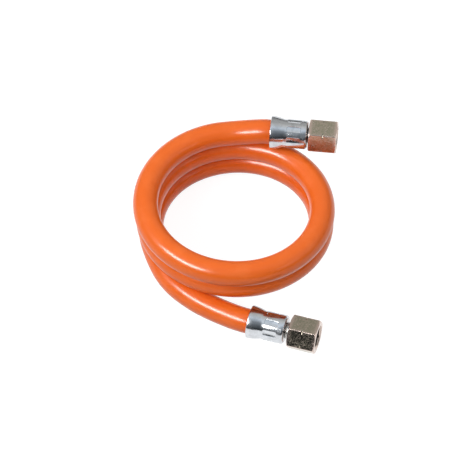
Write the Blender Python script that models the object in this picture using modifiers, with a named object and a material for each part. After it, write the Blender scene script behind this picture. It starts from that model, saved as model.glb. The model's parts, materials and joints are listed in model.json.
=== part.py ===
"""Low-pressure gas hose: an orange rubber hose lying in a coil of two and a half turns,
with a crimped ferrule, a turned nipple and a swivelling union nut at each end.

Blender 4.5, metres, +Z up. The coil lies flat on z = 0.
"""

from math import ceil, cos, pi, radians, sin, sqrt, tan, tau

import bmesh
import bpy
from mathutils import Matrix, Vector

# Hose
HOSE_DIAMETER = 0.0133
HOSE_BORE = 0.0063
HOSE_SIDES = 12

# Clearance between pieces that touch, and between neighbouring turns of the coil
CLEARANCE = 0.0003
TURN_GAP = 0.0004

# Coil: the radius is that of the hose's axis, and turns are counted from the back of the top turn
COIL_RADIUS = 0.0473
COIL_TAPER = 0.0008
COIL_LEAN_X = -0.0004
COIL_LEAN_Y = -0.0024
COIL_LAYERS = 3
COIL_END = 2.29
DESCENT_START = 0.38
DESCENT_LENGTH = 0.72
STEPS_A_TURN = 24

# Route: where the two ends leave the coil, chosen by eye
UPPER_RUN = 0.0196
UPPER_SETBACK = -0.0018
UPPER_HEADING = radians(6.5)
LOWER_HEADING = radians(16.5)
TAIL_STEPS = (
    # right, back, share of the rise to the lower ferrule's height
    (0.0090, -0.0227, 0.05),
    (0.0230, -0.0376, 0.30),
    (0.0410, -0.0490, 0.80),
)
LOWER_RUN = 0.0514
LOWER_DROP = -0.0533
STRAIGHT_RUN = 0.003
ROUTE_POINTS = 80
SPAN_SAMPLES = 8

# Ferrule
FERRULE_LENGTH = 0.020
FERRULE_WALL = 0.0008
FERRULE_FLARE = 0.0011
FERRULE_BELL = 0.0076
FERRULE_MOUTH_DEPTH = 0.0046
BELL_STEPS = 3
FERRULE_WAIST = 0.0002
FERRULE_LIP = 0.001
SHOULDER_RADIUS = 0.0014
FERRULE_STEPS = 32
IMPRINTS = 8
IMPRINT_LENGTH = 0.0076
IMPRINT_WIDTH = 0.0034
IMPRINT_DEPTH = 0.00035
IMPRINT_CORNER = 0.0007
IMPRINT_START = 0.0088

# Nipple
NIPPLE_BORE = 0.0044
NIPPLE_TIP = 0.0015
BARBS = 5
BARB_HEIGHT = 0.00035
BARB_FALL = 0.0003
BARB_RELIEF = 0.0009
BARB_STRETCH = 0.0003
FLANGE_LENGTH = 0.0008
FLANGE_HEIGHT = 0.0022
NECK_DIAMETER = 0.0088
LIP_ENGAGEMENT = 0.00015
HEAD_LENGTH = 0.0019
CONE_LENGTH = 0.0038
CONE_TIP_WALL = 0.001
NIPPLE_STEPS = 24

# Union nut
NUT_ACROSS_FLATS = 0.017
NUT_LENGTH = 0.0152
NUT_BACK_WALL = 0.003
THREAD_CORE = 0.01145
NUT_END_FACE = 0.0084
CHAMFER_SLOPE = radians(30)
MOUTH_CHAMFER = 0.0009
NOTCH_WIDTH = 0.0011
NOTCH_FLOOR = 0.0006
NOTCH_DEPTH = 0.0009
NUT_STEPS = 48
NUT_GAP = 0.0007
NUT_TRAVEL = 0.0015
UPPER_NUT_TURN = radians(9)
LOWER_NUT_TURN = 0.0

# Sizes that follow from the ones above
HOSE_RADIUS = HOSE_DIAMETER / 2
LAYER_PITCH = HOSE_DIAMETER + TURN_GAP
FERRULE_BORE_RADIUS = HOSE_RADIUS + CLEARANCE
FERRULE_RADIUS = FERRULE_BORE_RADIUS + FERRULE_WALL
FERRULE_RIM_RADIUS = FERRULE_RADIUS + FERRULE_FLARE
NECK_RADIUS = NECK_DIAMETER / 2
LIP_RADIUS = NECK_RADIUS - LIP_ENGAGEMENT
BARB_RADIUS = HOSE_BORE / 2 + BARB_STRETCH
FLANGE_END = FERRULE_LENGTH - FERRULE_LIP - CLEARANCE
HOSE_GRIP = FLANGE_END - FLANGE_LENGTH - CLEARANCE
NUT_BACK = FERRULE_LENGTH + NUT_GAP
HEAD_START = NUT_BACK + NUT_TRAVEL + NUT_BACK_WALL + CLEARANCE
HEAD_RADIUS = THREAD_CORE / 2 - CLEARANCE


def clear_scene():
    """Remove the objects of the start-up scene."""
    for item in list(bpy.data.objects):
        bpy.data.objects.remove(item, do_unlink=True)


def new_collection(name):
    """Add a collection to the scene."""
    collection = bpy.data.collections.new(name)
    bpy.context.scene.collection.children.link(collection)
    return collection


def new_material(name, color, roughness, metallic):
    """A plain surface of one colour."""
    material = bpy.data.materials.new(name)
    material.use_nodes = True
    shader = material.node_tree.nodes["Principled BSDF"]
    shader.inputs["Base Color"].default_value = (*color, 1.0)
    shader.inputs["Roughness"].default_value = roughness
    shader.inputs["Metallic"].default_value = metallic
    return material


def new_object(name, mesh, collection, material=None, parent=None):
    """Link a mesh as an object, with its material and its parent."""
    item = bpy.data.objects.new(name, mesh)
    collection.objects.link(item)
    item.parent = parent
    if material:
        mesh.materials.append(material)
    return item


def new_empty(name, collection, matrix, parent=None):
    """An empty that stands for a place and a direction."""
    empty = bpy.data.objects.new(name, None)
    collection.objects.link(empty)
    empty.parent = parent
    empty.matrix_local = matrix
    return empty


def as_cutter(item):
    """Mark an object as a tool that only shapes others."""
    item.hide_render = True
    item.display_type = 'WIRE'
    return item


def smooth_step(value):
    """Rise gently from 0 to 1."""
    value = min(max(value, 0.0), 1.0)
    return value * value * (3 - 2 * value)


def coil_layer(turn):
    """How many layers up the hose lies: it steps down one layer in each turn."""
    down = sum(smooth_step((turn - step - DESCENT_START) / DESCENT_LENGTH)
               for step in range(-1, COIL_LAYERS - 1))
    return COIL_LAYERS - down


def coil_point(turn):
    """A point of the hose's axis in the coil, anticlockwise from the back as seen from above."""
    angle = pi / 2 + tau * turn
    radius = COIL_RADIUS - COIL_TAPER * turn
    layer = coil_layer(turn)
    return Vector((COIL_LEAN_X * layer + radius * cos(angle),
                   COIL_LEAN_Y * layer + radius * sin(angle),
                   HOSE_RADIUS + LAYER_PITCH * layer))


def heading_vector(heading):
    """The level direction that a fitting points in: to the right and towards the front."""
    return Vector((cos(heading), -sin(heading), 0.0))


def upper_rim():
    """Mouth of the upper ferrule, which lies on the turn below it."""
    start = coil_point(0.0)
    turn_below = 1.0 - UPPER_RUN / (tau * COIL_RADIUS)
    height = coil_point(turn_below).z + FERRULE_RIM_RADIUS + HOSE_RADIUS + CLEARANCE
    return Vector((start.x + UPPER_RUN, start.y + UPPER_SETBACK, height))


def lower_rim():
    """Mouth of the lower ferrule, which lies on the ground."""
    end = coil_point(COIL_END)
    return Vector((end.x + LOWER_RUN, end.y + LOWER_DROP, FERRULE_RIM_RADIUS))


def fitting_points(rim, heading):
    """The hose's axis inside a ferrule and just in front of it, from its cut end outwards."""
    direction = heading_vector(heading)
    return [rim + direction * depth for depth in (HOSE_GRIP, HOSE_GRIP / 2, 0.0, -STRAIGHT_RUN)]


def route_knots():
    """The points that the hose's axis passes through, from the upper end to the lower one."""
    coil_end = coil_point(COIL_END)
    steps = round(COIL_END * STEPS_A_TURN)
    coil = [coil_point(COIL_END * step / steps) for step in range(steps + 1)]
    rise = lower_rim().z - HOSE_RADIUS
    tail = [Vector((coil_end.x + right, coil_end.y + back, HOSE_RADIUS + share * rise))
            for right, back, share in TAIL_STEPS]
    head = fitting_points(upper_rim(), UPPER_HEADING)
    end = fitting_points(lower_rim(), LOWER_HEADING)
    return head + coil + tail + end[::-1]


def spline_point(before, start, end, after, share):
    """A point between start and end on a centripetal Catmull-Rom curve."""
    times = [0.0]
    for first, second in ((before, start), (start, end), (end, after)):
        times.append(times[-1] + sqrt((second - first).length))
    moment = times[1] + share * (times[2] - times[1])

    def blend(first, second, low, high):
        return first.lerp(second, (moment - low) / (high - low))

    outer = (blend(before, start, times[0], times[1]),
             blend(start, end, times[1], times[2]),
             blend(end, after, times[2], times[3]))
    inner = (blend(outer[0], outer[1], times[0], times[2]),
             blend(outer[1], outer[2], times[1], times[3]))
    return blend(inner[0], inner[1], times[1], times[2])


def smooth_route(knots):
    """Evenly spaced points on a smooth curve through the knots."""
    padded = [2 * knots[0] - knots[1], *knots, 2 * knots[-1] - knots[-2]]
    fine = [spline_point(*padded[index:index + 4], step / SPAN_SAMPLES)
            for index in range(len(knots) - 1) for step in range(SPAN_SAMPLES)]
    fine.append(knots[-1])
    travel = [0.0]
    for first, second in zip(fine, fine[1:]):
        travel.append(travel[-1] + (second - first).length)
    points = []
    index = 0
    for step in range(ROUTE_POINTS):
        wanted = travel[-1] * step / (ROUTE_POINTS - 1)
        while index < len(fine) - 2 and travel[index + 1] < wanted:
            index += 1
        share = (wanted - travel[index]) / (travel[index + 1] - travel[index])
        points.append(fine[index].lerp(fine[index + 1], share))
    return points


def bore_route(points):
    """The bore's axis with its radius at each point: wider where the barbs stretch the hose."""
    grip_radius = (BARB_RADIUS + CLEARANCE) / cos(pi / HOSE_SIDES)
    spacing = (points[1] - points[0]).length
    skipped = ceil((HOSE_GRIP + 2 * STRAIGHT_RUN) / spacing)
    ends = []
    for rim, heading in ((upper_rim(), UPPER_HEADING), (lower_rim(), LOWER_HEADING)):
        direction = heading_vector(heading)
        ends.append([(rim + direction * (HOSE_GRIP + CLEARANCE), grip_radius),
                     (rim + direction * NIPPLE_TIP / 2, grip_radius),
                     (rim - direction * NIPPLE_TIP / 2, HOSE_BORE / 2)])
    middle = [(point, HOSE_BORE / 2) for point in points[skipped:-skipped]]
    return ends[0] + middle + ends[1][::-1]


def tube(name, route, collection, material=None, parent=None):
    """A closed round tube along a route of points and radii, as a mesh with welded caps."""
    curve = bpy.data.curves.new(name + "_curve", 'CURVE')
    curve.dimensions = '3D'
    curve.bevel_depth = 1.0
    curve.bevel_resolution = HOSE_SIDES // 2 - 2
    curve.use_fill_caps = True
    spline = curve.splines.new('POLY')
    spline.points.add(len(route) - 1)
    for point, (place, radius) in zip(spline.points, route):
        point.co = (*place, 1.0)
        point.radius = radius
    guide = bpy.data.objects.new(name + "_guide", curve)
    collection.objects.link(guide)
    graph = bpy.context.evaluated_depsgraph_get()
    mesh = bpy.data.meshes.new_from_object(guide.evaluated_get(graph))
    mesh.name = name
    weld = bmesh.new()
    weld.from_mesh(mesh)
    bmesh.ops.remove_doubles(weld, verts=weld.verts, dist=1e-6)
    bmesh.ops.recalc_face_normals(weld, faces=weld.faces)
    weld.to_mesh(mesh)
    weld.free()
    mesh.shade_smooth()
    mesh.set_sharp_from_angle(angle=radians(50))
    item = new_object(name, mesh, collection, material, parent)
    item.matrix_world = guide.matrix_world
    bpy.data.objects.remove(guide, do_unlink=True)
    bpy.data.curves.remove(curve)
    return item


def cut(item, cutter, operation='DIFFERENCE'):
    """Shape an object with a cutter."""
    boolean = item.modifiers.new(cutter.name, 'BOOLEAN')
    boolean.operation = operation
    boolean.object = cutter


def make_hose(parts, cutters, material, parent):
    """The rubber tube, hollow from end to end."""
    points = smooth_route(route_knots())
    hose = tube("hose", [(point, HOSE_RADIUS) for point in points], parts, material, parent)
    cut(hose, as_cutter(tube("hose_bore", bore_route(points), cutters, parent=parent)))
    return hose


def turned(name, profile, steps, collection, material=None, parent=None):
    """A ring-shaped body turned about its own Z axis.

    The profile is a closed outline of (radius, height), down its outer side and up its inner one.
    """
    shape = bmesh.new()
    corners = [shape.verts.new((radius, 0.0, height)) for radius, height in profile]
    for first, second in zip(corners, corners[1:] + corners[:1]):
        shape.edges.new((first, second))
    mesh = bpy.data.meshes.new(name)
    shape.to_mesh(mesh)
    shape.free()
    item = new_object(name, mesh, collection, material, parent)
    screw = item.modifiers.new("turned", 'SCREW')
    screw.steps = steps
    screw.render_steps = steps
    screw.use_smooth_shade = True
    screw.use_merge_vertices = True
    screw.merge_threshold = 0.000001
    return item


def ferrule_profile():
    """Outline of the sleeve: bell mouth, pressed waist, straight grip and rounded shoulder."""
    grip_start = IMPRINT_START + IMPRINT_CORNER
    shoulder = [(FERRULE_RADIUS - SHOULDER_RADIUS * (1 - cos(angle)),
                 FERRULE_LENGTH - SHOULDER_RADIUS * (1 - sin(angle)))
                for angle in (pi / 2, pi / 3, pi / 6, 0.0)]
    waist = FERRULE_RADIUS - FERRULE_WAIST
    outside = [(FERRULE_RADIUS, grip_start)]
    for step in range(BELL_STEPS + 1):
        share = step / BELL_STEPS
        outside.append((waist + (FERRULE_RIM_RADIUS - waist) * sin(share * pi / 2),
                        FERRULE_BELL + (FERRULE_WALL / 3 - FERRULE_BELL) * share))
    outside.append((FERRULE_RIM_RADIUS - FERRULE_WALL / 2, 0.0))
    inside = [
        (FERRULE_BORE_RADIUS + FERRULE_FLARE, FERRULE_WALL / 3),
        (FERRULE_BORE_RADIUS, FERRULE_MOUTH_DEPTH),
        (FERRULE_BORE_RADIUS, FERRULE_LENGTH - FERRULE_LIP - SHOULDER_RADIUS / 2),
        (FERRULE_BORE_RADIUS - SHOULDER_RADIUS / 2, FERRULE_LENGTH - FERRULE_LIP),
        (LIP_RADIUS, FERRULE_LENGTH - FERRULE_LIP),
        (LIP_RADIUS, FERRULE_LENGTH),
    ]
    return shoulder + outside + inside


def make_imprints(name, cutters, parent):
    """The blocks that press the imprints, evenly spaced around the grip."""
    shape = bmesh.new()
    height = FERRULE_RIM_RADIUS
    floor = FERRULE_RADIUS - IMPRINT_DEPTH
    middle = IMPRINT_START + IMPRINT_LENGTH / 2
    size = Matrix.Diagonal((height, IMPRINT_WIDTH, IMPRINT_LENGTH, 1.0))
    place = Matrix.Translation((floor + height / 2, 0.0, middle))
    for index in range(IMPRINTS):
        turn = Matrix.Rotation(tau * (index + 0.5) / IMPRINTS, 4, 'Z')
        bmesh.ops.create_cube(shape, size=1.0, matrix=turn @ place @ size)
    mesh = bpy.data.meshes.new(name)
    shape.to_mesh(mesh)
    shape.free()
    item = as_cutter(new_object(name, mesh, cutters, parent=parent))
    bevel = item.modifiers.new("corners", 'BEVEL')
    bevel.width = IMPRINT_CORNER
    bevel.segments = 2
    return item


def make_ferrule(end, parts, cutters, material, parent):
    """The pressed sleeve round the end of the hose."""
    ferrule = turned(end + "_ferrule", ferrule_profile(), FERRULE_STEPS, parts, material, parent)
    cut(ferrule, make_imprints(end + "_imprints", cutters, parent))
    return ferrule


def nipple_profile():
    """Outline of the turned insert: coned head, neck, groove, flange and barbed tail."""
    bore = NIPPLE_BORE / 2
    head_end = HEAD_START + HEAD_LENGTH
    tip = head_end + CONE_LENGTH
    groove = LIP_RADIUS - CLEARANCE
    groove_end = FERRULE_LENGTH + CLEARANCE
    flange_start = FLANGE_END - FLANGE_LENGTH
    profile = [
        (bore, tip),
        (bore + CONE_TIP_WALL, tip),
        (HEAD_RADIUS, head_end),
        (HEAD_RADIUS, HEAD_START),
        (NECK_RADIUS, HEAD_START),
        (NECK_RADIUS, groove_end),
        (groove, groove_end),
        (groove, FLANGE_END),
        (BARB_RADIUS + FLANGE_HEIGHT, FLANGE_END),
        (BARB_RADIUS + FLANGE_HEIGHT, flange_start),
    ]
    pitch = (flange_start - NIPPLE_TIP - BARB_RELIEF) / BARBS
    root = BARB_RADIUS - BARB_HEIGHT
    for index in range(BARBS, 0, -1):
        crest = NIPPLE_TIP + pitch * index
        profile.append((root, crest + BARB_FALL))
        profile.append((BARB_RADIUS, crest))
    profile.insert(-2 * BARBS, (root, flange_start))
    profile.append((root, NIPPLE_TIP))
    profile.append((bore, NIPPLE_TIP))
    return profile


def make_nipple(end, parts, material, parent):
    """The turned insert that carries the gas from the hose to the union nut's seat."""
    return turned(end + "_nipple", nipple_profile(), NIPPLE_STEPS, parts, material, parent)


def nut_lathe_profile():
    """Outline that turning gives the nut: end chamfers, corner notch, bore, seat and mouth."""
    corner = NUT_ACROSS_FLATS / sqrt(3)
    reach = corner + CLEARANCE
    chamfer = (reach - NUT_END_FACE) * tan(CHAMFER_SLOPE)
    middle = NUT_LENGTH / 2
    core = THREAD_CORE / 2
    hole = NECK_RADIUS + CLEARANCE
    return [
        (NUT_END_FACE, NUT_LENGTH),
        (reach, NUT_LENGTH - chamfer),
        (reach, middle + NOTCH_WIDTH / 2),
        (corner - NOTCH_DEPTH, middle + NOTCH_FLOOR / 2),
        (corner - NOTCH_DEPTH, middle - NOTCH_FLOOR / 2),
        (reach, middle - NOTCH_WIDTH / 2),
        (reach, chamfer),
        (NUT_END_FACE, 0.0),
        (hole, 0.0),
        (hole, NUT_BACK_WALL),
        (core, NUT_BACK_WALL),
        (core, NUT_LENGTH - MOUTH_CHAMFER),
        (core + MOUTH_CHAMFER, NUT_LENGTH),
    ]


def make_nut(end, parts, cutters, material, parent, back, turn):
    """The union nut: a hexagonal bar, turned, bored and notched. Its origin is on its hinge axis."""
    shape = bmesh.new()
    corner = NUT_ACROSS_FLATS / sqrt(3)
    bmesh.ops.create_cone(shape, cap_ends=True, segments=6, radius1=corner, radius2=corner,
                          depth=2 * NUT_LENGTH)
    mesh = bpy.data.meshes.new(end + "_union_nut")
    shape.to_mesh(mesh)
    shape.free()
    nut = new_object(end + "_union_nut", mesh, parts, material, parent)
    nut.location = (0.0, 0.0, back)
    nut.rotation_euler = (0.0, 0.0, turn)
    lathe = turned(end + "_nut_lathe", nut_lathe_profile(), NUT_STEPS, cutters, parent=nut)
    cut(nut, as_cutter(lathe), 'INTERSECT')
    return nut


def fitting_frame(end, rim, heading, parts, base):
    """An empty at a ferrule's mouth: +Z towards the nut, +X up, +Y to the front."""
    along = heading_vector(heading)
    up = Vector((0.0, 0.0, 1.0))
    across = along.cross(up)
    matrix = Matrix((up, across, along)).transposed().to_4x4()
    matrix.translation = rim
    return new_empty(end + "_fitting", parts, matrix, base)


def stand_on_origin(base, parts):
    """Move the whole hose so that the middle of its underside is at the origin."""
    bpy.context.view_layer.update()
    graph = bpy.context.evaluated_depsgraph_get()
    points = [item.matrix_world @ vertex.co
              for item in parts.objects if item.type == 'MESH'
              for vertex in item.evaluated_get(graph).data.vertices]
    low = Vector([min(point[axis] for point in points) for axis in range(3)])
    high = Vector([max(point[axis] for point in points) for axis in range(3)])
    base.location = (-(low.x + high.x) / 2, -(low.y + high.y) / 2, -low.z)
    bpy.context.view_layer.update()


def main():
    clear_scene()
    parts = new_collection("low_pressure_hose")
    cutters = new_collection("cutters")
    rubber = new_material("orange_rubber", (0.83, 0.15, 0.03), 0.3, 0.0)
    sleeve = new_material("bright_zinc", (0.72, 0.74, 0.77), 0.15, 1.0)
    turned_steel = new_material("turned_steel", (0.55, 0.55, 0.56), 0.3, 1.0)
    passivated = new_material("yellow_zinc", (0.42, 0.40, 0.34), 0.3, 1.0)

    base = new_empty("hose_base", parts, Matrix.Identity(4))
    make_hose(parts, cutters, rubber, base)
    ends = (
        ("upper", upper_rim(), UPPER_HEADING, NUT_BACK, UPPER_NUT_TURN),
        ("lower", lower_rim(), LOWER_HEADING, NUT_BACK + NUT_TRAVEL, LOWER_NUT_TURN),
    )
    for end, rim, heading, back, turn in ends:
        frame = fitting_frame(end, rim, heading, parts, base)
        make_ferrule(end, parts, cutters, sleeve, frame)
        make_nipple(end, parts, turned_steel, frame)
        make_nut(end, parts, cutters, passivated, frame, back, turn)
    stand_on_origin(base, parts)


main()
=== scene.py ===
"""Looks of a low-pressure gas hose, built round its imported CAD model.

The hose lies in a coil, with a crimped ferrule, a turned nipple and a union nut at each end.
Lengths are in metres, in the CAD model's own place: +Z up, the coil on the ground at z = 0.
"""

import json
from math import cos, pi, radians, sin, sqrt, tan, tau

import bpy
from bpy.props import FloatProperty, FloatVectorProperty, IntProperty, PointerProperty
from mathutils import Matrix, Vector


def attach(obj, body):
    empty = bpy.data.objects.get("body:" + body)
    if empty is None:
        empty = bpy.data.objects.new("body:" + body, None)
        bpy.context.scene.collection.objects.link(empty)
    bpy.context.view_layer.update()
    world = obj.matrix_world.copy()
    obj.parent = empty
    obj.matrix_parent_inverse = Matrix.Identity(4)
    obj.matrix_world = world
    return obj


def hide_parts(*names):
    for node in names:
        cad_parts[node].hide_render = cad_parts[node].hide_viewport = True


bl_info = {
    "name": "Low-Pressure Gas Hose",
    "version": (1, 0, 0),
    "blender": (4, 5, 0),
    "location": "3D View > Sidebar > Gas Hose",
    "description": "Models and finishes a coiled gas hose with its ferrules, nipples and union nuts",
    "category": "Object",
}

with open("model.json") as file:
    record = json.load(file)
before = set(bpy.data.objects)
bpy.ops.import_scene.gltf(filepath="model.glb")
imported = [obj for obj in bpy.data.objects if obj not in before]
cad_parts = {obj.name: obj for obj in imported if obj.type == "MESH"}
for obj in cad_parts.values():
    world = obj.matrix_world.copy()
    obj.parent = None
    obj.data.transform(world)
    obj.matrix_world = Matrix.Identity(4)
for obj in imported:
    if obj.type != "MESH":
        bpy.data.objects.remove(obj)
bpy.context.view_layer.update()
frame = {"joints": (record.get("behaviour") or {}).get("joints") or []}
nut_joints = {joint["name"].split("_")[0]: joint for joint in frame["joints"]}

# Clearances and the parts of the fittings, each measured along its axis from the ferrule's mouth
CLEARANCE = 0.0003
FERRULE_LENGTH = 0.020
FERRULE_LIP = 0.001
FLANGE_THICKNESS = 0.0008
FLANGE_END = FERRULE_LENGTH - FERRULE_LIP - CLEARANCE
FLANGE_START = FLANGE_END - FLANGE_THICKNESS
HOSE_GRIP = FLANGE_START - CLEARANCE
NUT_GAP = 0.0007
NUT_TRAVEL = 0.0015
NUT_BACK_WALL = 0.003
NUT_BACK = {"upper": FERRULE_LENGTH + NUT_GAP, "lower": FERRULE_LENGTH + NUT_GAP + NUT_TRAVEL}
NUT_TURN = {"upper": radians(9), "lower": 0.0}
HEAD_START = NUT_BACK["lower"] + NUT_BACK_WALL + CLEARANCE

# The hose's route, as the CAD model has it
COIL_RADIUS = 0.0473
COIL_TAPER = 0.0008
COIL_LEAN_X = -0.0004
COIL_LEAN_Y = -0.0024
COIL_LAYERS = 3
COIL_END = 2.29
DESCENT_START = 0.38
DESCENT_LENGTH = 0.72
STEPS_A_TURN = 24
HOSE_DIAMETER = 0.0133
HOSE_RADIUS = HOSE_DIAMETER / 2
LAYER_PITCH = 0.0137
FERRULE_RIM_RADIUS = 0.00885
HEADING = {"upper": radians(6.5), "lower": radians(16.5)}
UPPER_RUN = 0.0196
UPPER_SETBACK = -0.0018
LOWER_RUN = 0.0514
LOWER_DROP = -0.0533
STRAIGHT_RUN = 0.003
SPAN_SAMPLES = 8
ROUTE_POINTS = 480

# Points of the tail: to the right and to the back of the coil's end, and each one's share of its rise
TAIL_STEPS = ((0.0090, -0.0227, 0.05), (0.0230, -0.0376, 0.30), (0.0410, -0.0490, 0.80))

# Modelling: what counts as one point, as touching a plane and as parallel to an axis
SAME_POINT = 1e-7
TOUCHING = 1e-6
PARALLEL = 0.9

# The colour sockets of a Mix node, by their places among its inputs and outputs
MIX_COLOURS = (6, 7)
MIX_RESULT = 2

# Patterns on the surfaces: limits of a noise, shares of a mask or a roughness, and heights of a relief
SMUDGE_LIMITS = (0.42, 0.68)
SCRATCH_LIMITS = (0.62, 0.72)
PATCH_LIMITS = (0.38, 0.66)
RUBBER_SCUFFS = 0.45
RUBBER_ROUGHNESS = (0.30, 0.42)
DRAWN_LINES_HEIGHT = 0.12
GRAIN_HEIGHT = 0.04
METAL_RELIEF = 0.00001
SMUDGE_DULLING = 0.8
SCRATCH_DEPTH = 0.6
PATCH_PALENESS = 0.5
PATCH_DULLING = 0.10


class HoseSettings(bpy.types.PropertyGroup):
    """Sizes and looks of the rubber hose."""

    diameter: FloatProperty(name="Diameter", description="Outside diameter of the hose",
                            default=HOSE_DIAMETER, subtype='DISTANCE', unit='LENGTH')
    bore: FloatProperty(name="Bore", description="Inside diameter of the hose",
                        default=0.0063, subtype='DISTANCE', unit='LENGTH')
    sides: IntProperty(name="Sides", description="Faces around the hose", default=40, min=12)
    rubber: FloatVectorProperty(name="Rubber", description="Colour of the rubber",
                                default=(0.82, 0.138, 0.014), size=3, subtype='COLOR')
    worn_rubber: FloatVectorProperty(name="Worn rubber", description="Colour where the rubber is scuffed",
                                     default=(0.87, 0.170, 0.028), size=3, subtype='COLOR')
    gloss: FloatProperty(name="Gloss", description="Strength of the smooth skin over the rubber",
                         default=0.45, min=0.0, max=1.0, subtype='FACTOR')
    ripple: FloatProperty(name="Ripple", description="Height of the soft waves left by extrusion",
                          default=0.00004, subtype='DISTANCE', unit='LENGTH')


class FittingSettings(bpy.types.PropertyGroup):
    """Sizes and looks of the metal fittings at both ends."""

    ferrule_wall: FloatProperty(name="Ferrule wall", description="Thickness of the pressed sleeve",
                                default=0.0008, subtype='DISTANCE', unit='LENGTH')
    imprint_depth: FloatProperty(name="Imprint depth", description="How deep the crimping jaws press",
                                 default=0.00035, subtype='DISTANCE', unit='LENGTH')
    imprints: IntProperty(name="Imprints", description="Number of crimping jaws", default=8, min=3)
    across_flats: FloatProperty(name="Across flats", description="Spanner size of the union nuts",
                                default=0.017, subtype='DISTANCE', unit='LENGTH')
    nut_length: FloatProperty(name="Nut length", description="Length of the union nuts",
                              default=0.0152, subtype='DISTANCE', unit='LENGTH')
    thread_pitch: FloatProperty(name="Thread pitch", description="Distance between two threads",
                                default=0.001337, subtype='DISTANCE', unit='LENGTH')
    sleeve_zinc: FloatVectorProperty(name="Bright zinc", description="Colour of the ferrules",
                                     default=(0.64, 0.66, 0.69), size=3, subtype='COLOR')
    nut_zinc: FloatVectorProperty(name="Yellow zinc", description="Colour of the union nuts",
                                  default=(0.34, 0.32, 0.24), size=3, subtype='COLOR')
    # The blush is the plating's own shimmer, and on the nuts' corners and ends also a painted highlight
    nut_blush: FloatVectorProperty(name="Blush", description="Pink shimmer on the union nuts",
                                   default=(0.60, 0.48, 0.42), size=3, subtype='COLOR')
    turned_steel: FloatVectorProperty(name="Turned steel", description="Colour of the nipples",
                                      default=(0.56, 0.55, 0.52), size=3, subtype='COLOR')


class StudioSettings(bpy.types.PropertyGroup):
    """The camera, the floor and the lamps."""

    elevation: FloatProperty(name="Elevation", description="Height of the camera above the horizon",
                             default=radians(52), subtype='ANGLE', unit='ROTATION')
    distance: FloatProperty(name="Distance", description="From the camera to the coil",
                            default=2.0, subtype='DISTANCE', unit='LENGTH')
    lens: FloatProperty(name="Lens", description="Focal length of the camera", default=284.5,
                        subtype='DISTANCE_CAMERA', unit='CAMERA')
    key_power: FloatProperty(name="Key lamp", description="Power of the long lamp at the upper left",
                             default=11.0, subtype='POWER', unit='POWER')
    glint_power: FloatProperty(name="Glint lamp", description="Power of the lamp that only the gloss shows",
                               default=36.0, subtype='POWER', unit='POWER')
    side_power: FloatProperty(name="Side lamp", description="Power of the small lamp at the lower right",
                              default=1.0, subtype='POWER', unit='POWER')
    fill_power: FloatProperty(name="Fill lamps", description="Power of the large lamps around the coil",
                              default=1.7, subtype='POWER', unit='POWER')
    room_light: FloatProperty(name="Room", description="Brightness of the room overhead", default=1.0)


# Modelling by operators


def deselect():
    """Leave edit mode with nothing selected."""
    if bpy.context.object and bpy.context.object.mode != 'OBJECT':
        bpy.ops.object.mode_set(mode='OBJECT')
    bpy.ops.object.select_all(action='DESELECT')


def pick(item):
    """Make one object the selected and active one."""
    deselect()
    item.select_set(True)
    bpy.context.view_layer.objects.active = item


def draw_outline(name, points):
    """Draw a closed outline of (x, z) points in the XZ plane, one extruded point after another."""
    deselect()
    bpy.ops.mesh.primitive_plane_add(size=0.001)
    item = bpy.context.object
    item.name = name
    bpy.ops.object.mode_set(mode='EDIT')
    bpy.ops.mesh.merge(type='CENTER')
    path = [Vector((x, 0.0, z)) for x, z in points]
    bpy.ops.transform.translate(value=path[0])
    for start, end in zip(path, path[1:] + path[:1]):
        bpy.ops.mesh.extrude_vertices_move(TRANSFORM_OT_translate={"value": end - start})
    bpy.ops.mesh.select_all(action='SELECT')
    bpy.ops.mesh.remove_doubles(threshold=SAME_POINT)
    return item


def turn_on_lathe(name, outline, segments):
    """Turn a closed outline of (radius, height) about Z into a solid ring."""
    item = draw_outline(name, outline)
    bpy.ops.mesh.spin(steps=segments, angle=tau, center=(0, 0, 0), axis=(0, 0, 1))
    bpy.ops.mesh.select_all(action='SELECT')
    bpy.ops.mesh.remove_doubles(threshold=SAME_POINT)
    bpy.ops.mesh.normals_make_consistent(inside=False)
    deselect()
    return item


def add_modifier(item, name, kind, **values):
    """Add a modifier, set it up and apply it."""
    pick(item)
    modifier = item.modifiers.new(name, kind)
    for key, value in values.items():
        setattr(modifier, key, value)
    bpy.ops.object.modifier_apply(modifier=modifier.name)


def carve(item, cutter, operation='DIFFERENCE'):
    """Shape a piece with a cutter, and throw the cutter away."""
    add_modifier(item, "carve", 'BOOLEAN', object=cutter, operation=operation, solver='EXACT')
    bpy.data.objects.remove(cutter, do_unlink=True)


def soften_edges(item, width, angle, segments=2):
    """Round the sharp edges, so that they catch the light."""
    add_modifier(item, "soften", 'BEVEL', width=width, segments=segments, limit_method='ANGLE',
                 angle_limit=angle, harden_normals=False)


def shade(item, angle):
    """Smooth shading, but for edges sharper than the angle."""
    pick(item)
    bpy.ops.object.shade_smooth_by_angle(angle=angle)


def keep_own_place(item):
    """Store each point's place before the piece is moved, for patterns that follow its own axis."""
    place = item.data.attributes.new("own_place", 'FLOAT_VECTOR', 'POINT')
    for vertex, stored in zip(item.data.vertices, place.data):
        stored.vector = vertex.co


def fitting_matrix(end):
    """From a fitting's own axes to the object's: +Z towards the nut, +X up, origin at the ferrule's mouth."""
    joint = nut_joints[end]
    along = Vector(joint["axis"]).normalized()
    up = Vector((0.0, 0.0, 1.0))
    matrix = Matrix((up, along.cross(up), along)).transposed().to_4x4()
    matrix.translation = Vector(joint["pos_m"]) - along * NUT_BACK[end]
    return matrix


def fit_at_end(model, kind, end, matrix, material):
    """Copy a finished fitting to one end of the hose, in place of its CAD node."""
    pick(model)
    bpy.ops.object.duplicate(linked=False)
    piece = bpy.context.object
    node = f"{end}_{kind}"
    piece.name = node + "_finish"
    piece.data.name = piece.name
    piece.data.transform(matrix)
    piece.data.materials.clear()
    piece.data.materials.append(material)
    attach(piece, end + "_nut" if kind == "union_nut" else "hose")
    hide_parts(node)


# Materials


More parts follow.
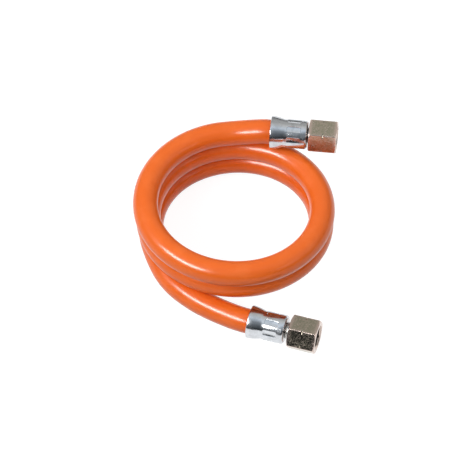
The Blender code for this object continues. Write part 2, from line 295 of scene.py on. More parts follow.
def node_group(name, inputs, outputs):
    """A shader node group with its sockets; returns the group, its input node and its output node."""
    group = bpy.data.node_groups.new(name, 'ShaderNodeTree')
    for socket, kind, value in inputs:
        made = group.interface.new_socket(name=socket, in_out='INPUT', socket_type=kind)
        if value is not None:
            made.default_value = value
    for socket, kind in outputs:
        group.interface.new_socket(name=socket, in_out='OUTPUT', socket_type=kind)
    return group, group.nodes.new('NodeGroupInput'), group.nodes.new('NodeGroupOutput')


def add_noise(tree, place, scale, detail=3.0, roughness=0.55, distortion=0.0):
    """A noise texture at a given scale, read at a given place."""
    noise = tree.nodes.new('ShaderNodeTexNoise')
    noise.inputs["Detail"].default_value = detail
    noise.inputs["Roughness"].default_value = roughness
    noise.inputs["Distortion"].default_value = distortion
    tree.links.new(place, noise.inputs["Vector"])
    if isinstance(scale, float):
        noise.inputs["Scale"].default_value = scale
    else:
        tree.links.new(scale, noise.inputs["Scale"])
    return noise.outputs["Fac"]


def add_range(tree, value, low, high, new_low=0.0, new_high=1.0):
    """Spread a value between two limits over a new range, smoothly."""
    spread = tree.nodes.new('ShaderNodeMapRange')
    spread.interpolation_type = 'SMOOTHSTEP'
    for name, number in (("From Min", low), ("From Max", high), ("To Min", new_low), ("To Max", new_high)):
        if isinstance(number, float):
            spread.inputs[name].default_value = number
        else:
            tree.links.new(number, spread.inputs[name])
    tree.links.new(value, spread.inputs["Value"])
    return spread.outputs["Result"]


def add_math(tree, operation, *values):
    """Two or three values through a Math node."""
    math = tree.nodes.new('ShaderNodeMath')
    math.operation = operation
    for socket, value in zip(math.inputs, values):
        if isinstance(value, float):
            socket.default_value = value
        else:
            tree.links.new(value, socket)
    return math.outputs[0]


def add_mix(tree, factor, first, second):
    """Two colours mixed by a factor."""
    mix = tree.nodes.new('ShaderNodeMix')
    mix.data_type = 'RGBA'
    tree.links.new(factor, mix.inputs["Factor"])
    for index, value in zip(MIX_COLOURS, (first, second)):
        if hasattr(value, "is_linked"):
            tree.links.new(value, mix.inputs[index])
        else:
            mix.inputs[index].default_value = (*value, 1.0)
    return mix.outputs[MIX_RESULT]


def add_stretch(tree, place, stretch, slant=(0.0, 0.0, 0.0)):
    """A place scaled differently along each of its axes, and then turned."""
    mapping = tree.nodes.new('ShaderNodeMapping')
    mapping.inputs["Rotation"].default_value = slant
    mapping.inputs["Scale"].default_value = stretch
    tree.links.new(place, mapping.inputs["Vector"])
    return mapping.outputs["Vector"]


def make_handling_group():
    """Marks of use: soft smudges and fine scratches, each as a value from 0 to 1."""
    group, given, result = node_group(
        "handling_marks",
        [("Place", 'NodeSocketVector', None), ("Smudge Scale", 'NodeSocketFloat', 180.0),
         ("Scratch Scale", 'NodeSocketFloat', 900.0)],
        [("Smudges", 'NodeSocketFloat'), ("Scratches", 'NodeSocketFloat')])
    place = given.outputs["Place"]
    smudges = add_noise(group, place, given.outputs["Smudge Scale"], detail=4.0, roughness=0.6)
    smudges = add_range(group, smudges, *SMUDGE_LIMITS)
    slanted = add_stretch(group, place, stretch=(1.0, 0.06, 1.0), slant=(0.5, 0.9, 0.3))
    scratches = add_noise(group, slanted, given.outputs["Scratch Scale"], detail=2.0, roughness=0.5,
                          distortion=0.3)
    scratches = add_range(group, scratches, *SCRATCH_LIMITS)
    group.links.new(smudges, result.inputs["Smudges"])
    group.links.new(scratches, result.inputs["Scratches"])
    return group


def make_machining_group():
    """Fine rings round a turned or drawn piece, along its own axis, as a value from 0 to 1."""
    group, given, result = node_group(
        "machining_rings",
        [("Place", 'NodeSocketVector', None), ("Rings Scale", 'NodeSocketFloat', 2500.0)],
        [("Rings", 'NodeSocketFloat')])
    flat = add_stretch(group, given.outputs["Place"], stretch=(0.02, 0.02, 1.0))
    rings = add_noise(group, flat, given.outputs["Rings Scale"], detail=2.0, roughness=0.6)
    group.links.new(rings, result.inputs["Rings"])
    return group


def shared_group(name, make):
    """A shader group that more than one material uses, built once."""
    return bpy.data.node_groups.get(name) or make()


def use_group(tree, group, **values):
    """Place a shader group in a material, with its own values."""
    node = tree.nodes.new('ShaderNodeGroup')
    node.node_tree = group
    for name, value in values.items():
        socket = node.inputs[name.replace("_", " ").title()]
        if isinstance(value, float):
            socket.default_value = value
        else:
            tree.links.new(value, socket)
    return node


def new_material(name, **values):
    """A Principled surface with its constant values; returns the material, its tree and its shader."""
    material = bpy.data.materials.new(name)
    material.use_nodes = True
    shader = material.node_tree.nodes["Principled BSDF"]
    for key, value in values.items():
        shader.inputs[key.replace("_", " ")].default_value = value
    return material, material.node_tree, shader


def own_place(tree):
    """The place of a point along and around its own piece."""
    attribute = tree.nodes.new('ShaderNodeAttribute')
    attribute.attribute_name = "own_place"
    return attribute.outputs["Vector"]


def add_bump(tree, shader, height, distance):
    """Feed a height to the surface's normal."""
    bump = tree.nodes.new('ShaderNodeBump')
    bump.inputs["Strength"].default_value = 1.0
    bump.inputs["Distance"].default_value = distance
    tree.links.new(height, bump.inputs["Height"])
    tree.links.new(bump.outputs["Normal"], shader.inputs["Normal"])


def darker(colour, share):
    """A colour with only a share of its brightness."""
    return [channel * share for channel in colour]


def make_rubber(settings):
    """Smooth extruded rubber: a soft body under a thin glossy skin."""
    material, tree, shader = new_material(
        "orange_rubber", Metallic=0.0, Coat_Weight=settings.gloss, Coat_Roughness=0.18, IOR=1.5,
        Specular_IOR_Level=0.1)
    place = own_place(tree)
    handling = shared_group("handling_marks", make_handling_group)
    marks = use_group(tree, handling, place=place, smudge_scale=90.0, scratch_scale=700.0)
    drawn = add_noise(tree, add_stretch(tree, place, stretch=(1.0, 1.0, 0.03)), scale=700.0, detail=2.0)
    waves = add_noise(tree, add_stretch(tree, place, stretch=(1.0, 1.0, 0.35)), scale=140.0, detail=2.0)
    grain = add_noise(tree, place, scale=5200.0, detail=2.0)
    scuffs = add_math(tree, 'MULTIPLY', marks.outputs["Smudges"], RUBBER_SCUFFS)
    tree.links.new(add_mix(tree, scuffs, settings.rubber, settings.worn_rubber), shader.inputs["Base Color"])
    dull = add_range(tree, marks.outputs["Smudges"], 0.0, 1.0, *RUBBER_ROUGHNESS)
    tree.links.new(dull, shader.inputs["Roughness"])
    height = add_math(tree, 'MULTIPLY_ADD', drawn, DRAWN_LINES_HEIGHT, waves)
    height = add_math(tree, 'MULTIPLY_ADD', grain, GRAIN_HEIGHT, height)
    add_bump(tree, shader, height, settings.ripple)
    return material


def make_metal(name, colour, blush, roughness, ring_height, wave_height, blush_scale=220.0, edges=None):
    """Plated or turned steel, with its shimmer, its marks and its rings.

    With edges, a function that finds worn edges, the metal is blushed there, as worn plating and as a painted
    highlight, and its patches are rougher.
    """
    material, tree, shader = new_material(name, Metallic=1.0)
    handling = shared_group("handling_marks", make_handling_group)
    machining = shared_group("machining_rings", make_machining_group)
    place = own_place(tree)
    marks = use_group(tree, handling, place=place, smudge_scale=260.0, scratch_scale=1500.0)
    rings = use_group(tree, machining, place=place, rings_scale=2600.0)
    cloud = add_noise(tree, place, blush_scale, detail=3.0, roughness=0.6, distortion=0.4)
    patches = add_range(tree, cloud, *PATCH_LIMITS)
    dull = add_math(tree, 'MULTIPLY_ADD', marks.outputs["Smudges"], roughness * SMUDGE_DULLING, roughness)
    if edges:
        dull = add_math(tree, 'MULTIPLY_ADD', patches, PATCH_DULLING, dull)
        pale = add_math(tree, 'MULTIPLY', patches, PATCH_PALENESS)
        # The corners and ends found by edges take the pale blush colour: worn plating, and a painted
        # highlight along the edges
        patches = add_math(tree, 'MAXIMUM', pale, edges(tree, place))
    tree.links.new(add_mix(tree, patches, colour, blush), shader.inputs["Base Color"])
    tree.links.new(dull, shader.inputs["Roughness"])
    waves = add_math(tree, 'MULTIPLY', add_noise(tree, place, scale=170.0, detail=1.0), wave_height)
    height = add_math(tree, 'MULTIPLY_ADD', rings.outputs["Rings"], ring_height, waves)
    height = add_math(tree, 'MULTIPLY_ADD', marks.outputs["Scratches"], -SCRATCH_DEPTH * ring_height, height)
    add_bump(tree, shader, height, METAL_RELIEF)
    return material


# Route of the hose


def smooth_step(value):
    """Rise gently from 0 to 1."""
    value = min(max(value, 0.0), 1.0)
    return value * value * (3 - 2 * value)


def coil_point(turn):
    """A point of the hose's axis in the coil, anticlockwise from the back as seen from above."""
    layer = COIL_LAYERS - sum(smooth_step((turn - step - DESCENT_START) / DESCENT_LENGTH)
                              for step in range(-1, COIL_LAYERS - 1))
    angle = pi / 2 + tau * turn
    radius = COIL_RADIUS - COIL_TAPER * turn
    return Vector((COIL_LEAN_X * layer + radius * cos(angle),
                   COIL_LEAN_Y * layer + radius * sin(angle),
                   HOSE_RADIUS + LAYER_PITCH * layer))


def heading_vector(end):
    """The level direction that a fitting points in."""
    return Vector((cos(HEADING[end]), -sin(HEADING[end]), 0.0))


def ferrule_mouth(end):
    """The middle of a ferrule's mouth on the route."""
    if end == "lower":
        return Vector((coil_point(COIL_END).x + LOWER_RUN, coil_point(COIL_END).y + LOWER_DROP,
                       FERRULE_RIM_RADIUS))
    start = coil_point(0.0)
    below = coil_point(1.0 - UPPER_RUN / (tau * COIL_RADIUS))
    return Vector((start.x + UPPER_RUN, start.y + UPPER_SETBACK,
                   below.z + FERRULE_RIM_RADIUS + HOSE_RADIUS + CLEARANCE))


def fitting_points(end):
    """The hose's axis inside a ferrule and just in front of it."""
    return [ferrule_mouth(end) + heading_vector(end) * depth
            for depth in (HOSE_GRIP, HOSE_GRIP / 2, 0.0, -STRAIGHT_RUN)]


def route_knots():
    """The points that the hose's axis passes through, from the upper end to the lower one."""
    coil_end = coil_point(COIL_END)
    steps = round(COIL_END * STEPS_A_TURN)
    coil = [coil_point(COIL_END * step / steps) for step in range(steps + 1)]
    rise = FERRULE_RIM_RADIUS - HOSE_RADIUS
    tail = [Vector((coil_end.x + right, coil_end.y + back, HOSE_RADIUS + share * rise))
            for right, back, share in TAIL_STEPS]
    return fitting_points("upper") + coil + tail + fitting_points("lower")[::-1]


def spline_point(before, start, end, after, share):
    """A point between start and end on a centripetal Catmull-Rom curve."""
    times = [0.0]
    for first, second in ((before, start), (start, end), (end, after)):
        times.append(times[-1] + sqrt((second - first).length))
    moment = times[1] + share * (times[2] - times[1])

    def blend(first, second, low, high):
        return first.lerp(second, (moment - low) / (high - low))

    outer = (blend(before, start, times[0], times[1]),
             blend(start, end, times[1], times[2]),
             blend(end, after, times[2], times[3]))
    inner = (blend(outer[0], outer[1], times[0], times[2]),
             blend(outer[1], outer[2], times[1], times[3]))
    return blend(inner[0], inner[1], times[1], times[2])


def hose_route():
    """Evenly spaced points of the hose's axis, moved to where the CAD model has it."""
    knots = route_knots()
    padded = [2 * knots[0] - knots[1], *knots, 2 * knots[-1] - knots[-2]]
    fine = [spline_point(*padded[index:index + 4], step / SPAN_SAMPLES)
            for index in range(len(knots) - 1) for step in range(SPAN_SAMPLES)]
    fine.append(knots[-1])
    travel = [0.0]
    for first, second in zip(fine, fine[1:]):
        travel.append(travel[-1] + (second - first).length)
    shift = fitting_matrix("upper").translation - ferrule_mouth("upper")
    points = []
    index = 0
    for step in range(ROUTE_POINTS):
        wanted = travel[-1] * step / (ROUTE_POINTS - 1)
        while index < len(fine) - 2 and travel[index + 1] < wanted:
            index += 1
        share = (wanted - travel[index]) / (travel[index + 1] - travel[index])
        points.append(fine[index].lerp(fine[index + 1], share) + shift)
    return points, travel[-1]


class GASHOSE_OT_hose(bpy.types.Operator):
    """Lay the rubber hose along its route, hollow from end to end"""

    bl_idname = "gas_hose.hose"
    bl_label = "Hose"

    # How much a nipple's tail adds to the bore's radius
    tail_stretch = 0.0006

    def execute(self, context):
        settings = context.scene.gas_hose
        route, length = hose_route()
        radius = settings.diameter / 2
        curve = bpy.data.curves.new("hose_cover", 'CURVE')
        curve.dimensions = '3D'
        curve.bevel_depth = radius
        # A bevel has two sides for each step of its resolution, and four more
        curve.bevel_resolution = settings.sides // 2 - 2
        spline = curve.splines.new('POLY')
        spline.points.add(len(route) - 1)
        for point, place in zip(spline.points, route):
            point.co = (*place, 1.0)
        cover = bpy.data.objects.new("hose_cover", curve)
        context.scene.collection.objects.link(cover)
        pick(cover)
        bpy.ops.object.convert(target='MESH')
        cover = context.object
        rings = len(route)
        sides = len(cover.data.vertices) // rings
        if sides * rings != len(cover.data.vertices):
            raise RuntimeError("the hose's rings aren't whole")
        self.store_place(cover, sides, radius, length / (rings - 1))
        self.hollow(cover, sides, rings, radius, length, settings.bore)
        shade(cover, angle=radians(50))
        cover.data.materials.clear()
        cover.data.materials.append(make_rubber(settings))
        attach(cover, "hose")
        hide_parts("hose")
        return {'FINISHED'}

    def store_place(self, cover, sides, radius, spacing):
        """Store each point's place on the hose laid straight, so that patterns run along it."""
        place = cover.data.attributes.new("own_place", 'FLOAT_VECTOR', 'POINT')
        for index, stored in enumerate(place.data):
            ring, side = divmod(index, sides)
            angle = tau * side / sides
            stored.vector = (radius * cos(angle), radius * sin(angle), ring * spacing)

    def hollow(self, cover, sides, rings, radius, length, bore):
        """Give the hose its wall: thinner in the ferrules, where the nipples' tails stretch it."""
        tail_radius = bore / 2 + self.tail_stretch
        gripped = (radius - tail_radius) / (radius - bore / 2)
        wall = cover.vertex_groups.new(name="wall")
        for ring in range(rings):
            depth = min(ring, rings - 1 - ring) * length / (rings - 1)
            weight = gripped if depth < HOSE_GRIP else 1.0
            wall.add(list(range(ring * sides, (ring + 1) * sides)), weight, 'REPLACE')
        add_modifier(cover, "wall", 'SOLIDIFY', thickness=radius - bore / 2, offset=-1.0,
                     vertex_group="wall", use_rim=True)
        cover.vertex_groups.clear()


class GASHOSE_OT_ferrules(bpy.types.Operator):
    """Press the sleeve that clamps the hose, with its bell mouth and crimping marks, for both ends"""

    bl_idname = "gas_hose.ferrules"
    bl_label = "Ferrules"

    segments = 112
    arc_steps = 6
    bell_steps = 10
    bell_length = 0.0076
    mouth_depth = 0.0046
    mouth_flare = 0.0003
    waist = 0.0002
    shoulder = 0.0014
    grip_start = 0.0095
    neck_hole = 0.00425
    imprint_start = 0.0088
    imprint_size = (0.0034, 0.0076)
    imprint_corner = 0.0009
    imprint_fillet = 0.0003
    jaw_height = 0.002

    def execute(self, context):
        settings = context.scene.gas_fitting
        bore = HOSE_RADIUS + CLEARANCE
        radius = bore + settings.ferrule_wall
        sleeve = turn_on_lathe("ferrule_model", self.outline(bore, radius), self.segments)
        carve(sleeve, self.jaws(radius, settings))
        soften_edges(sleeve, width=0.00012, angle=radians(22), segments=3)
        shade(sleeve, angle=radians(30))
        keep_own_place(sleeve)
        zinc = make_metal("bright_zinc", settings.sleeve_zinc, darker(settings.sleeve_zinc, share=0.85),
                          roughness=0.14, ring_height=0.25, wave_height=2.0)
        for end in ("upper", "lower"):
            fit_at_end(sleeve, "ferrule", end, fitting_matrix(end), zinc)
        bpy.data.objects.remove(sleeve, do_unlink=True)
        return {'FINISHED'}

    def outline(self, bore, radius):
        """Down the outside from the shoulder to the bell mouth, then up the inside."""
        waist = radius - self.waist
        arc = range(self.arc_steps + 1)
        points = [(radius - self.shoulder * (1 - cos(angle)),
                   FERRULE_LENGTH - self.shoulder * (1 - sin(angle)))
                  for angle in (pi / 2 * (1 - step / self.arc_steps) for step in arc)]
        points.append((radius, self.grip_start))
        for step in range(self.bell_steps):
            share = step / self.bell_steps
            points.append((waist + (FERRULE_RIM_RADIUS - waist) * sin(share * pi / 2),
                           self.bell_length * (1 - share)))
        middle = FERRULE_RIM_RADIUS - (radius - bore) / 2
        lip = (radius - bore) / 2
        points += [(middle + lip * cos(angle), lip * (1 - sin(angle)))
                   for angle in (pi * step / self.arc_steps for step in arc)]
        points += [
            (bore + self.mouth_flare, self.mouth_depth / 2),
            (bore, self.mouth_depth),
            (bore, FERRULE_LENGTH - FERRULE_LIP - self.shoulder / 2),
            (bore - self.shoulder / 2, FERRULE_LENGTH - FERRULE_LIP),
            (self.neck_hole, FERRULE_LENGTH - FERRULE_LIP),
            (self.neck_hole, FERRULE_LENGTH),
        ]
        return points

    def jaws(self, radius, settings):
        """The blocks that press the crimping marks: one is shaped, and the others are copies."""
        width, length = self.imprint_size
        floor = radius - settings.imprint_depth
        deselect()
        bpy.ops.mesh.primitive_cube_add(size=1.0)
        block = bpy.context.object
        bpy.ops.object.mode_set(mode='EDIT')
        bpy.ops.transform.resize(value=(self.jaw_height, width, length))
        middle = (floor + self.jaw_height / 2, 0.0, self.imprint_start + length / 2)
        bpy.ops.transform.translate(value=middle)
        deselect()
        self.round_block(block, self.imprint_corner, segments=5, upright=True)
        self.round_block(block, self.imprint_fillet, segments=3, upright=False)
        blocks = [block]
        for _ in range(settings.imprints - 1):
            pick(block)
            bpy.ops.object.duplicate(linked=False)
            blocks.append(bpy.context.object)
        for index, copy in enumerate(blocks):
            copy.data.transform(Matrix.Rotation(tau * (index + 0.5) / settings.imprints, 4, 'Z'))
        pick(block)
        for copy in blocks:
            copy.select_set(True)
        bpy.ops.object.join()
        return block

    def round_block(self, block, width, segments, upright):
        """Round the four upright edges of a block, or else the edges of its floor."""
        pick(block)
        bpy.ops.object.mode_set(mode='EDIT')
        bpy.ops.mesh.select_mode(type='EDGE')
        bpy.ops.mesh.select_all(action='DESELECT')
        bpy.ops.object.mode_set(mode='OBJECT')
        mesh = block.data
        low = min(vertex.co.x for vertex in mesh.vertices)
        for edge in mesh.edges:
            start, end = (mesh.vertices[index].co for index in edge.vertices)
            along = abs((end - start).normalized().x) > PARALLEL
            at_floor = max(start.x, end.x) < low + TOUCHING
            edge.select = along if upright else at_floor
        bpy.ops.object.mode_set(mode='EDIT')
        bpy.ops.mesh.bevel(offset=width, segments=segments, affect='EDGES')
        bpy.ops.mesh.select_mode(type='VERT')
        deselect()


class GASHOSE_OT_nipples(bpy.types.Operator):
    """Turn the insert with its barbed tail, collar, neck and coned head, for both ends"""

    bl_idname = "gas_hose.nipples"
    bl_label = "Nipples"

    segments = 72
    bore = 0.0022
    tip = 0.0015
    tail_radius = 0.00345
    barbs = 5
    barb_height = 0.00035
    barb_fall = 0.0003
    barb_relief = 0.0009
    flange_height = 0.0022
    groove_radius = 0.00395
    neck_radius = 0.0044
    head_radius = 0.005425
    head_length = 0.0019
    cone_length = 0.0038
    cone_tip_wall = 0.001

    def execute(self, context):
        settings = context.scene.gas_fitting
        insert = turn_on_lathe("nipple_model", self.outline(), self.segments)
        soften_edges(insert, width=0.00008, angle=radians(20))
        shade(insert, angle=radians(30))
        keep_own_place(insert)
        steel = make_metal("turned_steel", settings.turned_steel, darker(settings.turned_steel, share=0.8),
                           roughness=0.22, ring_height=1.2, wave_height=0.5)
        for end in ("upper", "lower"):
            fit_at_end(insert, "nipple", end, fitting_matrix(end), steel)
        bpy.data.objects.remove(insert, do_unlink=True)
        return {'FINISHED'}

    def outline(self):
        """Down the outside from the cone's tip to the end of the tail, then back up the bore."""
        head_end = HEAD_START + self.head_length
        tip = head_end + self.cone_length
        flange = self.tail_radius + self.flange_height
        root = self.tail_radius - self.barb_height
        points = [
            (self.bore, tip),
            (self.bore + self.cone_tip_wall, tip),
            (self.head_radius, head_end),
            (self.head_radius, HEAD_START),
            (self.neck_radius, HEAD_START),
            (self.neck_radius, FERRULE_LENGTH + CLEARANCE),
            (self.groove_radius, FERRULE_LENGTH + CLEARANCE),
            (self.groove_radius, FLANGE_END),
            (flange, FLANGE_END),
            (flange, FLANGE_START),
            (root, FLANGE_START),
        ]
        pitch = (FLANGE_START - self.tip - self.barb_relief) / self.barbs
        for index in range(self.barbs, 0, -1):
            crest = self.tip + pitch * index
            points += [(root, crest + self.barb_fall), (self.tail_radius, crest)]
        points += [(root, self.tip), (self.bore, self.tip)]
        return points


class GASHOSE_OT_union_nuts(bpy.types.Operator):
    """Machine the union nut from hexagonal bar, with its notch and left-hand thread, for both ends"""

    bl_idname = "gas_hose.union_nuts"
    bl_label = "Union nuts"

    segments = 96
    end_face = 0.0084
    chamfer_slope = radians(30)
    neck_hole = 0.0047
    thread_core = 0.005725
    thread_root = 0.00658
    thread_start = 0.0052
    thread_flank = radians(27.5)
    thread_steps = 48
    tap_overlap = 0.0003
    mouth_chamfer = 0.0009
    notch_mouth = 0.0009
    notch_floor = 0.0004
    notch_depth = 0.0007
    ragged_edge = 0.0006
    # Pale bands on the corners and at the ends: worn plating, and along the edges a painted highlight
    corner_wear_and_highlight = (0.0005, 0.0010)
    end_wear_and_highlight_reach = 0.0026
    corner_round = 0.0003
    edge_round = 0.00012

    def execute(self, context):
        settings = context.scene.gas_fitting
        corner = settings.across_flats / sqrt(3)
        deselect()
        bpy.ops.mesh.primitive_cylinder_add(vertices=6, radius=corner, depth=2 * settings.nut_length)
        nut = context.object
        nut.name = "union_nut_model"
        soften_edges(nut, self.corner_round, angle=radians(30), segments=3)
        outline = self.outline(corner, settings.nut_length)
        carve(nut, turn_on_lathe("nut_turning", outline, self.segments), 'INTERSECT')
        soften_edges(nut, self.edge_round, angle=radians(24))
        carve(nut, self.thread_tap(settings))
        shade(nut, angle=radians(28))
        add_modifier(nut, "flat faces", 'WEIGHTED_NORMAL', keep_sharp=True, weight=50)
        keep_own_place(nut)
        zinc = make_metal("yellow_zinc", settings.nut_zinc, settings.nut_blush,
                          roughness=0.115, ring_height=0.5, wave_height=2.0, blush_scale=1100.0,
                          edges=self.find_worn_and_highlit_edges)
        for end in ("upper", "lower"):
            back = Matrix.Translation((0.0, 0.0, NUT_BACK[end]))
            turn = Matrix.Rotation(NUT_TURN[end], 4, 'Z')
            fit_at_end(nut, "union_nut", end, fitting_matrix(end) @ back @ turn, zinc)
        bpy.data.objects.remove(nut, do_unlink=True)
        return {'FINISHED'}

    def outline(self, corner, length):
        """What turning leaves: end chamfers, the notch in the corners, the socket and its mouth."""
        reach = corner + CLEARANCE
        chamfer = (reach - self.end_face) * tan(self.chamfer_slope)
        middle = length / 2
        floor = corner - self.notch_depth
        return [
            (self.end_face, length),
            (reach, length - chamfer),
            (reach, middle + self.notch_mouth / 2),
            (floor, middle + self.notch_floor / 2),
            (floor, middle - self.notch_floor / 2),
            (reach, middle - self.notch_mouth / 2),
            (reach, chamfer),
            (self.end_face, 0.0),
            (self.neck_hole, 0.0),
            (self.neck_hole, NUT_BACK_WALL),
            (self.thread_core, NUT_BACK_WALL),
            (self.thread_core, length - self.mouth_chamfer),
            (self.thread_core + self.mouth_chamfer, length),
        ]

    def find_worn_and_highlit_edges(self, tree, place):
        """How near a point is to the nut's corners or to its ends, where the plating is worn bright and a
        highlight is painted.
        """
        settings = bpy.context.scene.gas_fitting
        split = tree.nodes.new('ShaderNodeSeparateXYZ')
        tree.links.new(place, split.inputs[0])
        reach = add_math(tree, 'MULTIPLY', split.outputs["X"], split.outputs["X"])
        reach = add_math(tree, 'MULTIPLY_ADD', split.outputs["Y"], split.outputs["Y"], reach)
        ragged = add_math(tree, 'MULTIPLY', add_noise(tree, place, scale=700.0), self.ragged_edge)
        reach = add_math(tree, 'ADD', add_math(tree, 'SQRT', reach), ragged)
        flat = settings.across_flats / 2
        # The pale band along the corners: worn plating and a painted highlight
        corners = add_range(tree, reach, *(flat + self.ragged_edge + blush for blush in self.corner_wear_and_highlight))
        half = settings.nut_length / 2
        height = add_math(tree, 'ABSOLUTE', add_math(tree, 'SUBTRACT', split.outputs["Z"], half))
        height = add_math(tree, 'ADD', height, ragged)
        ends = add_range(tree, height, half - self.end_wear_and_highlight_reach, half)
        return add_math(tree, 'MAXIMUM', corners, ends)

    def thread_tap(self, settings):
        """The cutter of the thread: a tooth wound into a left-hand helix."""
        inner = self.thread_core - self.tap_overlap
        half = (self.thread_root - inner) * tan(self.thread_flank)
        tooth = [(self.thread_root, self.thread_start), (inner, self.thread_start + half),
                 (inner, self.thread_start - half)]
        tap = draw_outline("thread_tap", tooth)
        deselect()
        turns = int((settings.nut_length - self.thread_start) / settings.thread_pitch) + 2
        add_modifier(tap, "helix", 'SCREW', axis='Z', angle=tau, screw_offset=-settings.thread_pitch,
                     iterations=turns, steps=self.thread_steps, render_steps=self.thread_steps,
                     use_merge_vertices=False)
        pick(tap)
        bpy.ops.object.mode_set(mode='EDIT')
        bpy.ops.mesh.select_all(action='SELECT')
        bpy.ops.mesh.fill_holes(sides=3)
        bpy.ops.mesh.select_all(action='SELECT')
        bpy.ops.mesh.normals_make_consistent(inside=False)
        lowest = min(vertex.co.z for vertex in tap.data.vertices)
        bpy.ops.transform.translate(value=(0.0, 0.0, self.thread_start - lowest - half))
        deselect()
        return tap


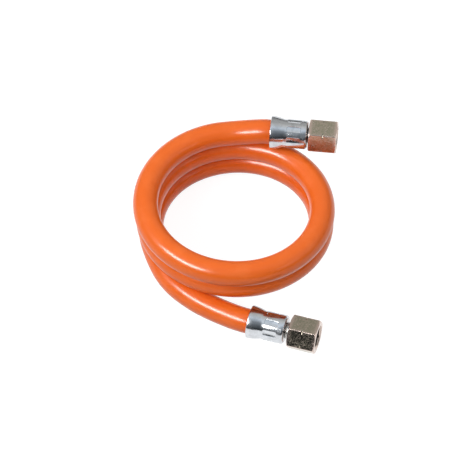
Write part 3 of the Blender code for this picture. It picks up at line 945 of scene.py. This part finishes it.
class GASHOSE_OT_studio(bpy.types.Operator):
    """Set up the camera, the pale floor and the soft lamps"""

    bl_idname = "gas_hose.studio"
    bl_label = "Studio"

    aim = Vector((-0.000829, 0.016226, 0.0))
    sensor_width = 36.0
    floor_size = 4.0
    floor_height = -0.0002
    floor_albedo = 0.25
    floor_lift = 0.90
    lamp_distance = 1.3
    room_bands = ((0, 0.08), (34, 0.15), (58, 0.32), (82, 0.92), (110, 0.70), (132, 0.50), (175, 0.48))
    front_tint = (0.82, 0.91, 1.0)
    back_tint = (1.0, 0.99, 0.95)
    ground_share = 0.3
    full_light_height = 0.5

    # Each lamp has a name, the setting of its power, its bearing and elevation in degrees, and its size
    lamps = (
        ("key_lamp", "key_power", -55, 43, (0.98, 0.40)),
        ("glint_lamp", "glint_power", -55, 43, (0.90, 0.30)),
        ("side_lamp", "side_power", 60, 26, (0.56, 0.34)),
        ("front_fill", "fill_power", 15, 32, (0.9, 0.9)),
        ("right_fill", "fill_power", 95, 32, (0.9, 0.9)),
        ("back_fill", "fill_power", 180, 32, (0.9, 0.9)),
        ("left_fill", "fill_power", -110, 32, (0.9, 0.9)),
    )

    def execute(self, context):
        scene = context.scene
        settings = scene.gas_studio
        scene.view_settings.view_transform = 'Standard'
        self.place_camera(scene, settings)
        self.lay_floor()
        self.light_room(scene, settings)
        for name, power, *place in self.lamps:
            lamp = self.place_lamp(name, getattr(settings, power), *place)
            lamp.visible_diffuse = power != "glint_power"
            lamp.visible_glossy = power != "fill_power"
        return {'FINISHED'}

    def place_camera(self, scene, settings):
        """Look down at the coil from the front."""
        back = Vector((0.0, -cos(settings.elevation), sin(settings.elevation)))
        camera = bpy.data.cameras.new("camera")
        camera.lens = settings.lens
        camera.sensor_width = self.sensor_width
        item = bpy.data.objects.new("camera", camera)
        scene.collection.objects.link(item)
        item.location = self.aim + back * settings.distance
        item.rotation_euler = (-back).to_track_quat('-Z', 'Y').to_euler()
        scene.camera = item

    def lay_floor(self):
        """A wide plain floor, white to the camera and in reflections, that keeps the shadow."""
        deselect()
        bpy.ops.mesh.primitive_plane_add(size=self.floor_size)
        floor = bpy.context.object
        floor.name = "studio_floor"
        bpy.ops.object.mode_set(mode='EDIT')
        bpy.ops.transform.translate(value=(0.0, 0.0, self.floor_height))
        deselect()
        material, tree, shader = new_material(
            "studio_floor", Base_Color=(*[self.floor_albedo] * 3, 1.0), Roughness=0.9, Specular_IOR_Level=0.0,
            Emission_Color=(1.0, 1.0, 1.0, 1.0))
        light_path = tree.nodes.new('ShaderNodeLightPath')
        seen = add_math(tree, 'MAXIMUM', light_path.outputs["Is Camera Ray"],
                        light_path.outputs["Is Glossy Ray"])
        seen = add_math(tree, 'MAXIMUM', seen, light_path.outputs["Is Transmission Ray"])
        lift = add_math(tree, 'MULTIPLY', seen, self.floor_lift)
        tree.links.new(lift, shader.inputs["Emission Strength"])
        floor.data.materials.append(material)

    def light_room(self, scene, settings):
        """A room in bands, from the front over the top to the back, and white to the camera."""
        world = bpy.data.worlds.new("studio_room")
        scene.world = world
        world.use_nodes = True
        tree = world.node_tree
        background = tree.nodes["Background"]
        coordinates = tree.nodes.new('ShaderNodeTexCoord')
        split = tree.nodes.new('ShaderNodeSeparateXYZ')
        tree.links.new(coordinates.outputs["Generated"], split.inputs[0])
        front = add_math(tree, 'MULTIPLY', split.outputs["Y"], -1.0)
        turn = add_math(tree, 'DIVIDE', add_math(tree, 'ARCTAN2', split.outputs["Z"], front), pi)
        bands = tree.nodes.new('ShaderNodeValToRGB')
        tree.links.new(turn, bands.inputs["Fac"])
        stops = bands.color_ramp.elements
        stops.remove(stops[1])
        for index, (angle, brightness) in enumerate(self.room_bands):
            stop = stops.new(angle / 180) if index else stops[0]
            room_tint = self.front_tint if angle < 90 else self.back_tint
            stop.color = (*(brightness * tint for tint in room_tint), 1.0)
        light_path = tree.nodes.new('ShaderNodeLightPath')
        room = add_mix(tree, light_path.outputs["Is Camera Ray"], bands.outputs["Color"], (1.0, 1.0, 1.0))
        tree.links.new(room, background.inputs["Color"])
        level = add_range(tree, split.outputs["Z"], 0.0, self.full_light_height,
                          self.ground_share * settings.room_light, settings.room_light)
        level = add_math(tree, 'MAXIMUM', level, light_path.outputs["Is Camera Ray"])
        tree.links.new(level, background.inputs["Strength"])

    def place_lamp(self, name, power, bearing, elevation, size):
        """A soft rectangular lamp that faces the coil, so many degrees to the right of the front."""
        light = bpy.data.lights.new(name, 'AREA')
        light.shape = 'RECTANGLE'
        light.size, light.size_y = size
        light.energy = power
        lamp = bpy.data.objects.new(name, light)
        bpy.context.scene.collection.objects.link(lamp)
        turn, rise = radians(bearing), radians(elevation)
        place = Vector((sin(turn) * cos(rise), -cos(turn) * cos(rise), sin(rise))) * self.lamp_distance
        lamp.location = self.aim + place
        lamp.rotation_euler = place.to_track_quat('Z', 'Y').to_euler()
        return lamp


class GASHOSE_PT_panel(bpy.types.Panel):
    """The steps and the sizes, in the 3D view's sidebar"""

    bl_label = "Gas Hose"
    bl_idname = "GASHOSE_PT_panel"
    bl_space_type = 'VIEW_3D'
    bl_region_type = 'UI'
    bl_category = "Gas Hose"

    def draw(self, context):
        layout = self.layout
        for step in STEPS:
            layout.operator(step.bl_idname)
        for group in (context.scene.gas_hose, context.scene.gas_fitting, context.scene.gas_studio):
            box = layout.box()
            for name in group.bl_rna.properties.keys():
                if name not in ("rna_type", "name"):
                    box.prop(group, name)


STEPS = (GASHOSE_OT_studio, GASHOSE_OT_ferrules, GASHOSE_OT_nipples, GASHOSE_OT_union_nuts,
         GASHOSE_OT_hose)
SETTINGS = {"gas_hose": HoseSettings, "gas_fitting": FittingSettings, "gas_studio": StudioSettings}


def register():
    """Add the settings, the steps and the panel."""
    for name, group in SETTINGS.items():
        bpy.utils.register_class(group)
        setattr(bpy.types.Scene, name, PointerProperty(type=group))
    for step in (*STEPS, GASHOSE_PT_panel):
        bpy.utils.register_class(step)


def unregister():
    """Take them away again."""
    for step in (*STEPS, GASHOSE_PT_panel):
        bpy.utils.unregister_class(step)
    for name, group in SETTINGS.items():
        delattr(bpy.types.Scene, name)
        bpy.utils.unregister_class(group)


def main():
    """Build the whole scene, step by step."""
    register()
    bpy.ops.gas_hose.studio()
    bpy.ops.gas_hose.ferrules()
    bpy.ops.gas_hose.nipples()
    bpy.ops.gas_hose.union_nuts()
    bpy.ops.gas_hose.hose()


if __name__ == "__main__":
    main()
